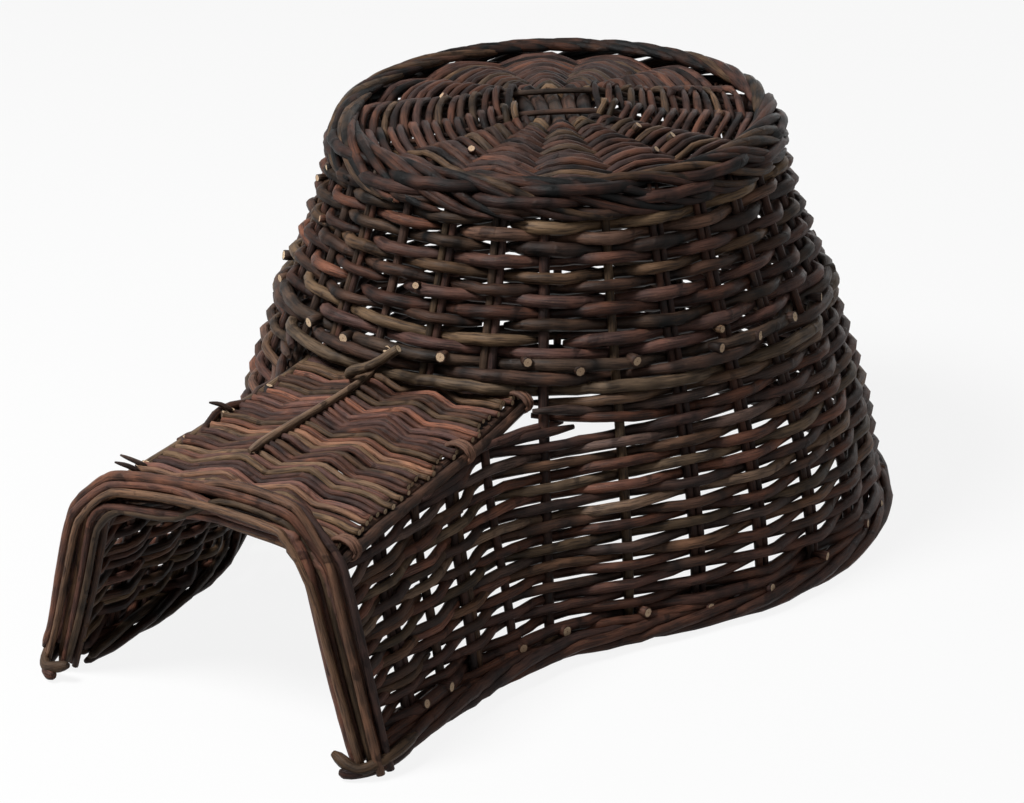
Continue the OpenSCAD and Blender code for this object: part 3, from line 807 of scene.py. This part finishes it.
def rim_stroke(k, span, butt, tip):
    points = []
    for s in range(9):
        t = s / 8
        over = t * t * (3 - 2 * t)
        angle = (k + span * t) * STEP
        r = RIM_R - RIM_INSIDE + RIM_ACROSS * over
        x, y = r * math.sin(angle), -r * math.cos(angle)
        z = mix(RIM_START, RIM_END, over) + RIM_ARCH * math.sin(math.pi * over)
        points.append(Vector((x, y, z + tilt(x, y) * (1 - 0.5 * over))))
    line = smooth(points, 4)
    swell = [math.sin(math.pi * mix(0.12, 0.9, i / (len(line) - 1))) ** 0.5 for i in range(len(line))]
    radii = [r * s for r, s in zip(taper(line, butt, tip, 0.05), swell)]
    return dict(line=line, radii=radii, cut=(False, RNG.random() < 0.25))


strokes = [rim_stroke(i * STAKES / RIM_STROKES + RNG.uniform(-0.2, 0.2), RNG.uniform(3.9, 5.0),
                      RNG.uniform(3.0, 4.0), RIM_TIP) for i in range(RIM_STROKES)]
make_piece("rim_crest_outer", strokes[0::2], RIM_SHADE)
make_piece("rim_crest_inner", strokes[1::2], RIM_SHADE)
for row in (1, 2):
    first = HALF_ROUND - 2 + row
    z = RIM_LOW + (row - 0.5) * RIM_PITCH - 1.5
    line = body_round(z, first, STAKES, one_in_three(first), RIM_REACH, 0.7)
    make_piece(f"rim_rod_{row}", [dict(line=line, radii=taper(line, 4.0, 3.5, 0.08))], (-0.35, 0.1))
print("rim strokes:", len(strokes))

# %% [markdown]
# ## The sunken top
# The weaver starts here: five sticks side by side, two thin split ones laid across, and pairs of
# thin rods twined round them, opening the sticks like a fan. In twining, one rod of a pair passes
# over a spoke while the other passes under it, so every spoke carries a little heap of strokes.
# A flat spiral would be quicker, but none of its rounds would cross a spoke.

# %% Sticks and spokes of the top
DISC_Z, SLATH_TURN, SPOKES = 235.0, 3 * STEP, 14
SPOKE_STEP = 2 * math.pi / SPOKES
SPLITS = (0, 6, 7, 13)
STICK_PITCH, STICK_HALF, SPLIT_X, SPLIT_Y, SPOKE_END = 10.0, 24, 27, 19, 113.5
STICK_R, SPOKE_R = 4.9, 2.9
DOME_LOW, DOME_RISE, DOME_R = 3.0, 8.0, 112


def on_disc(x, y, z):
    """Turns a point of the flat top into place: domed in the middle, and tilted with the rim."""
    c, s = math.cos(SLATH_TURN), math.sin(SLATH_TURN)
    dome = DOME_LOW + DOME_RISE * max(0.0, 1 - (x * x + y * y) / DOME_R ** 2)
    place = Vector((x * c - y * s, x * s + y * c, z + dome))
    place.z += 0.8 * tilt(place.x, place.y)
    return place


def spoke_root(k):
    m = k % SPOKES
    if m in SPLITS:
        return Vector((SPLIT_X if m in (0, 13) else -SPLIT_X, SPLIT_Y if m < 7 else -SPLIT_Y))
    if m < 7:
        return Vector(((3 - m) * STICK_PITCH, STICK_HALF))
    return Vector(((m - 10) * STICK_PITCH, -STICK_HALF))


def spoke_tip(k):
    angle = (k + 0.5) * SPOKE_STEP
    return SPOKE_END * Vector((math.cos(angle), math.sin(angle)))


def spoke(k, r):
    """Where a spoke meets radius r, and how far a split stick rises there."""
    root = spoke_root(k)
    f = (spoke_tip(k) - root).normalized()
    b = root.dot(f)
    p = root + f * (-b + math.sqrt(b * b + r * r - root.dot(root)))
    rise = 6.2 * min(1.0, max(0.0, (60 - r) / 26)) if k % SPOKES in SPLITS else 0.0
    return p, rise


rods = []
for j in range(-2, 3):
    ends = [spoke_tip(3 - j), spoke_root(3 - j), spoke_root(10 + j), spoke_tip(10 + j)]
    bends = [ends[0], ends[0].lerp(ends[1], 0.6), ends[1], ends[2], ends[3].lerp(ends[2], 0.6), ends[3]]
    line = smooth([on_disc(*bend, DISC_Z) for bend in bends], 5)
    middle = (len(line) - 1) / 2
    radii = [mix(STICK_R, SPOKE_R, min(1.0, 1.3 * abs(i - middle) / middle)) for i in range(len(line))]
    rods.append(dict(line=line, radii=radii))
make_piece("top_base_sticks", rods, (-0.25, 0.1))
rods = []
for a, b in ((0, 6), (13, 7)):
    points = []
    for k, reaches in ((a, (112, 60, 33)), (b, (33, 60, 112))):
        for r in reaches:
            p, rise = spoke(k, r)
            points.append(on_disc(*p, DISC_Z + rise))
    line = smooth(points, 5)
    rods.append(dict(line=line, radii=taper(line, 1.9, 1.7)))
make_piece("top_split_sticks", rods, (-0.1, 0.2))
print("spokes:", SPOKES)


# %% Twine the top
BINDINGS, ROUNDS, FIRST_ROUND, LAST_ROUND, TOP_BUTTS = (31.5, 37.5, 43.7), 11, 50.0, 112.5, 9
TWINE_STEPS = 6


def twine(r, thick, lift=3.0):
    rods, phase = [], RNG.uniform(0, 6)
    for strand in (0, 1):
        line = []
        for s in range(SPOKES * TWINE_STEPS + 1):
            u = s / TWINE_STEPS
            k = int(u)
            near = [spoke(k + d, r + 1.0 * math.sin(2.1 * ((k + d) % SPOKES) + phase)) for d in (-1, 0, 1, 2)]
            flat = spline_point(*[n[0] for n in near], u - k)
            rise = mix(near[1][1], near[2][1], u - k)
            heave = math.cos(math.pi * (u + strand))
            aside = math.sin(math.pi * (u + strand)) * thick * 0.8
            flat = flat * (1 + aside / max(flat.length, 1.0))
            bumpy = heave * (lift + thick) + RNG.gauss(0, 0.35)
            line.append((on_disc(*flat, DISC_Z + rise + bumpy), Vector((0, 0, 1))))
        rods.append(dict(line=line, radii=taper(line, thick * 1.05, thick * 0.92), sides=6))
    return rods


rods = []
for r in BINDINGS:
    rods += twine(r, 2.2)
make_piece("top_binding_rods", rods, (-0.2, 1.0))
rods = []
for n in range(ROUNDS):
    r = mix(FIRST_ROUND, LAST_ROUND, n / (ROUNDS - 1)) + RNG.uniform(-0.6, 0.6) * (n < ROUNDS - 1)
    rods += twine(r, RNG.uniform(2.1, 2.9))
for _ in range(TOP_BUTTS):
    angle, r = RNG.uniform(0, 2 * math.pi), RNG.uniform(50, 105)
    heading = Vector((math.cos(angle + 1.2), math.sin(angle + 1.2), RNG.uniform(0.7, 1.6)))
    root = on_disc(r * math.cos(angle), r * math.sin(angle), DISC_Z + 2)
    rods.append(stub(root, heading, 7, RNG.uniform(2.2, 3.0)))
make_piece("top_weaving_rods", rods, (-0.25, 1.35))
print("rounds twined:", ROUNDS + len(BINDINGS))

# %% [markdown]
# ## The roof of the tunnel
# Long sticks run from the mouth to the wale, and thin rods lie across them, every one bent over the
# same two sticks, so the roof folds into two ridges. One stick lies on top, by the first ridge, and
# holds the rods down, and a layer below closes the gaps, coloured darker as painted shade between the
# rods. The roof narrows towards the body and is crowned a little, most at the mouth. A grooved sheet
# would be lighter, but has no row of cut ends.

# %% The shape of the roof
THIN_RODS, ROOF_FRONT, ROOF_REAR = 35, -325.5, -157.0
PROFILE = ((0.0, 2.2), (0.06, 1.6), (0.16, -2.4), (0.39, 4.8), (0.41, 4.4), (0.50, -2.4),
           (0.69, 4.8), (0.71, 4.4), (0.80, -2.4), (0.94, 1.2), (1.0, 2.2))
CROWN_START = 330


def along_roof(y):
    """0 at the mouth, 1 at the body."""
    return min(1.0, (y + CROWN_START) / ROOF_RUN)


def crown(x, y):
    """The roof is fuller on one side; its right edge was tied on a little higher."""
    u = max(-1.0, min(1.0, x / roof_edge(y)))
    return (8.5 + 3.0 * u) * (1 - u ** 4) * mix(1.0, 0.25, along_roof(y)) + 2.5 * (1 + u)


def roof_surface(x, y):
    return roof_z(y) + crown(x, y) + 2.5 * max(0.0, (y + 180) / 40)


def ridge(u):
    """Height of a thin rod over the roof's surface; u runs from 0, left, to 1, right."""
    for (a, low), (b, high) in zip(PROFILE, PROFILE[1:]):
        if u <= b:
            return mix(low, high, (u - a) / (b - a))
    return PROFILE[-1][1]


def across(u, y):
    return roof_edge(y) * (2 * u - 1)


print("roof height in the middle of the mouth:", round(roof_surface(0, ROOF_FRONT), 1))

# %% Lay the sticks and tie the edge
UNDER_STICKS = ((0.39, -0.6), (0.55, -6.4), (0.70, -0.6))
TIES, TIE_STEPS, LOOSE_TIPS = (-321, -212, -152), 20, (-298, -292, -219)


def roof_stick(u, beside, front, rear, high, butt, tip, **more):
    points = []
    for s in range(6):
        y = mix(front, rear, s / 5)
        x = across(u, y) + beside + 0.8 * math.sin(s * 1.3 + 9 * u)
        points.append(Vector((x, y, roof_surface(x, y) + high)))
    line = smooth(points, 4, Vector((1, 0, 0)))
    return dict(line=line, radii=taper(line, butt, tip), **more)


def tie(y):
    x = roof_edge(y) + EDGE_ROOM
    z = roof_surface(x, y) + 0.6
    points = [Vector((x + 8.2 * math.cos(s * 0.8), y + 0.3 * s, z + 5.8 * math.sin(s * 0.8)))
              for s in range(TIE_STEPS)]
    line = smooth(points, 2, Vector((0, 1, 0)))
    return dict(line=line, radii=taper(line, 1.6, 1.2), sides=6, tint=(0.9, 1.1, 0.6))


rods = [roof_stick(0.375, 0, -272, -160, 7.0, 2.5, 2.1, tint=(0.3, 0.9, 0.8))]
rods += [roof_stick(u, 0, -328, -158, high, 2.2, 1.8) for u, high in UNDER_STICKS]
for u, side in ((1, 1), (0, -1)):
    rods.append(roof_stick(u, side * 1.5, -329, -141, -3.0, 3.3, 2.9, cut=(False, True)))
    rods.append(roof_stick(u, side * 8.4, -329, -146, -2.6, 3.3, 2.8, cut=(False, True)))
rods += [tie(y) for y in TIES]
for y in LOOSE_TIPS:
    tip = smooth([Vector((-73, y, roof_z(y) + 2)), Vector((-78, y - 4, roof_z(y) + 6)),
                  Vector((-84 + RNG.uniform(-3, 3), y - 8, roof_z(y) + RNG.uniform(7, 10)))], 3)
    rods.append(dict(line=tip, radii=taper(tip, 1.8, 1.0), sides=6))
make_piece("roof_sticks", rods, (0.0, 0.45))
print("roof sticks, ties and loose tips:", len(rods))


# %% Lay the thin rods across
CROSS_STEPS, CROSS_TIP_R, REAR_RODS, REAR_PITCH = 40, 1.9, 6, 3.5


def cross_rod(n, y, first=0.0, last=1.0, drop=0.0, **more):
    bend, shift = RNG.uniform(0.8, 1.15), 0.02 * math.sin(n * 0.45) + RNG.uniform(-0.012, 0.012)
    y += RNG.uniform(-0.6, 0.6)
    drop += RNG.uniform(-0.7, 0.7)
    low, high = first + RNG.uniform(-0.03, 0.01), last + RNG.uniform(0.0, 0.05)
    line = []
    for s in range(CROSS_STEPS + 1):
        u = mix(low, high, s / CROSS_STEPS)
        x = across(u, y)
        z = roof_surface(x, y) - drop + bend * ridge(u - shift) * mix(1.0, 0.8, along_roof(y))
        line.append((Vector((x, y + 0.5 * math.sin(6.4 * u + n), z)), Vector((0, 1, 0))))
    radii = taper(line, RNG.uniform(1.9, 2.4), CROSS_TIP_R)
    return dict(line=line, radii=radii, sides=6, cut=(first == 0, last == 1), **more)


rods = [cross_rod(n, mix(ROOF_FRONT, ROOF_REAR, n / (THIN_RODS - 1))) for n in range(THIN_RODS)]
# The lower layer's rods are tinted dark: painted shade in the gaps between the rods on top.
for n in range(THIN_RODS - 1):
    y = mix(ROOF_FRONT, ROOF_REAR, (n + 0.5) / (THIN_RODS - 1))
    rods.append(cross_rod(n, y, 0.01, 0.995, drop=3.0, tint=(RNG.random(), RNG.uniform(-0.4, -0.1), 0)))
for n in range(REAR_RODS):
    y = ROOF_REAR + REAR_PITCH * (n + 1)
    meets = 0.5 - (math.sqrt(max(0.0, 158 ** 2 - y * y)) - 20) / (2 * roof_edge(y))
    for span in ((0, max(0.1, meets)), (min(0.9, 1 - meets), 1)):
        rods.append(cross_rod(THIN_RODS + n, y, *span))
# The rods on top get the brightest range: partly their own tone, partly painted top light and highlights.
make_piece("roof_cross_rods", rods, (0.05, 1.5))
print("thin roof rods:", THIN_RODS)

# %% [markdown]
# ## The hoop over the mouth
# A bundle of seven rods is bent over the mouth like a doorway, each with a thin one beside it. They
# follow one line a little apart, some change places on the way, and their ends stand on the ground or
# just above it. One thick arch would keep the outline, but not the single rods.

# %% Bend the hoop
HOOP_SET = ((-1, -1, 0), (0, 0.7, 0), (1, 0.3, 0), (-1, -0.3, 1), (0, -1, 1), (1, 1, 1), (-0.5, 0.5, 1.74))
HOOP_TOP, HOOP_FOOT, HOOP_HEAD = roof_z(-MOUTH_REACH) + 7, 106.0, 74.0
HOOP_Y, HOOP_LAYER, HOOP_THIN, HOOP_CROWN_Y = -329.5, 5.4, 2.6, -331
hoop_lean = math.atan2(HOOP_FOOT - HOOP_HEAD, HOOP_TOP)


def hoop_half(z):
    return mix(HOOP_FOOT, HOOP_HEAD, z / HOOP_TOP)


def hoop_leg(beside, y, round_off, wide=0.0):
    """Half a rod of the bundle: beside runs from -1, inside, to 1, outside."""
    centre_z, bend = HOOP_TOP - round_off, round_off + 7.5 * beside
    centre_x = hoop_half(centre_z) - round_off / math.cos(hoop_lean)
    leg = [Vector((hoop_half(z) + wide + beside * mix(7.0, 8.0, z / 60), y, z)) for z in (2.5, 30.0, 60.0)]
    for s in range(5):
        a = mix(hoop_lean, math.pi / 2, s / 4)
        x = centre_x + wide * (1 - s / 4) + bend * math.cos(a)
        leg.append(Vector((x, y, centre_z + bend * math.sin(a))))
    return leg + [Vector((16, y, centre_z + bend + 1.0))]


for i, (on_right, on_left, layer) in enumerate(HOOP_SET, 1):
    rods = []
    for thin in (0, 1):
        y = HOOP_Y - layer * HOOP_LAYER - HOOP_THIN * thin
        right_leg = hoop_leg(on_right + 0.5 * thin, y, RNG.uniform(20, 30))
        left_leg = hoop_leg(on_left - 0.5 * thin, y, RNG.uniform(20, 34), 3.5)
        points = right_leg + [Vector((-p.x, p.y, p.z)) for p in reversed(left_leg)]
        sway, roll = RNG.uniform(0, 6), RNG.uniform(0, 6)
        last = len(points) - 1
        for n, p in enumerate(points):
            t = n / last
            wander = math.sin(sway + 6.0 * t) + 0.3 * math.sin(roll + 11.0 * t)
            on_top = min(1.0, max(0.0, (p.z - 50) / 40))
            aside = 2.6 * wander * min(1.0, 0.3 + 4 * min(t, 1 - t))
            rise = on_top * (2.2 * wander + crown(p.x, HOOP_CROWN_Y))
            points[n] = p + Vector((aside, 1.6 * math.cos(roll + 6.0 * t), rise))
        for end in (0, -1):
            points[end].z += RNG.choice((0, 0, 5, 11))
        line = smooth(points, 4, Vector((0, 1, 0)))
        thick = RNG.uniform(3.1, 3.8) if thin == 0 else 2.3
        rods.append(dict(line=line, radii=taper(line, thick, thick * 0.82), cut=(True, thin == 1)))
    make_piece(f"hoop_rod_{i}", rods, (0.1, 1.35))
print("hoop rods:", len(HOOP_SET))

# %% [markdown]
# ## Floor and light
# The photograph is a cut-out on white with soft light from above on the left. The floor is white to
# the camera but keeps a faint shadow, and large lamps give the soft light. A plain white world would
# light every side alike.

# %% Floor, world and lamps
def seen_by_eye(tree):
    """1 for rays that the eye follows, 0 for light on other things."""
    ray = place_node(tree, "ShaderNodeLightPath")
    bent = math_node(tree, "MAXIMUM", ray.outputs["Is Glossy Ray"], ray.outputs["Is Transmission Ray"])
    return math_node(tree, "MAXIMUM", ray.outputs["Is Camera Ray"], bent)


FLOOR_GLOW, WORLD_LIGHT = 0.88, 0.04
floor_mesh = bpy.data.meshes.new("floor")
bm = bmesh.new()
bmesh.ops.create_grid(bm, x_segments=1, y_segments=1, size=8)
bm.to_mesh(floor_mesh)
bm.free()
floor = bpy.data.objects.new("floor", floor_mesh)
bpy.context.scene.collection.objects.link(floor)
paper = bpy.data.materials.new("pale_floor")
paper.use_nodes = True
tree = paper.node_tree
shader = tree.nodes["Principled BSDF"]
shader.inputs["Base Color"].default_value = (0.5, 0.5, 0.5, 1)
shader.inputs["Roughness"].default_value = 0.9
glow = place_node(tree, "ShaderNodeEmission")
both = place_node(tree, "ShaderNodeMixShader")
wire(tree, math_node(tree, "MULTIPLY", seen_by_eye(tree), FLOOR_GLOW), both.inputs[0])
wire(tree, shader.outputs[0], both.inputs[1])
wire(tree, glow.outputs[0], both.inputs[2])
wire(tree, both.outputs[0], tree.nodes["Material Output"].inputs["Surface"])
floor_mesh.materials.append(paper)

world = bpy.data.worlds.new("studio")
bpy.context.scene.world = world
world.use_nodes = True
tree = world.node_tree
soft = tree.nodes["Background"]
soft.inputs["Color"].default_value = (1, 1, 1, 1)
soft.inputs["Strength"].default_value = WORLD_LIGHT
white = place_node(tree, "ShaderNodeBackground")
white.inputs["Strength"].default_value = 1.0
white.inputs["Color"].default_value = (1, 1, 1, 1)
both = place_node(tree, "ShaderNodeMixShader")
wire(tree, seen_by_eye(tree), both.inputs[0])
wire(tree, soft.outputs[0], both.inputs[1])
wire(tree, white.outputs[0], both.inputs[2])
wire(tree, both.outputs[0], tree.nodes["World Output"].inputs["Surface"])


def add_lamp(name, direction, distance, size, power):
    data = bpy.data.lights.new(name, "AREA")
    data.shape, data.size, data.energy = "DISK", size, power
    lamp = bpy.data.objects.new(name, data)
    bpy.context.scene.collection.objects.link(lamp)
    spot = direction.normalized() * distance + Vector((0, 0, 0.12))
    lamp.matrix_world = Matrix.Translation(spot) @ direction.to_track_quat("Z", "Y").to_matrix().to_4x4()


add_lamp("key_lamp", level_right * -0.75 + Vector((0, 0, 1.0)) + back * 0.35, 2.2, 0.8, 91)
add_lamp("fill_lamp", level_right * 0.8 + Vector((0, 0, 0.5)) + back * 0.9, 2.6, 1.6, 9)
add_lamp("back_lamp", level_right * 0.5 + Vector((0, 0, 0.55)) - back, 2.6, 1.6, 9)
bpy.context.scene.view_settings.view_transform = "Standard"
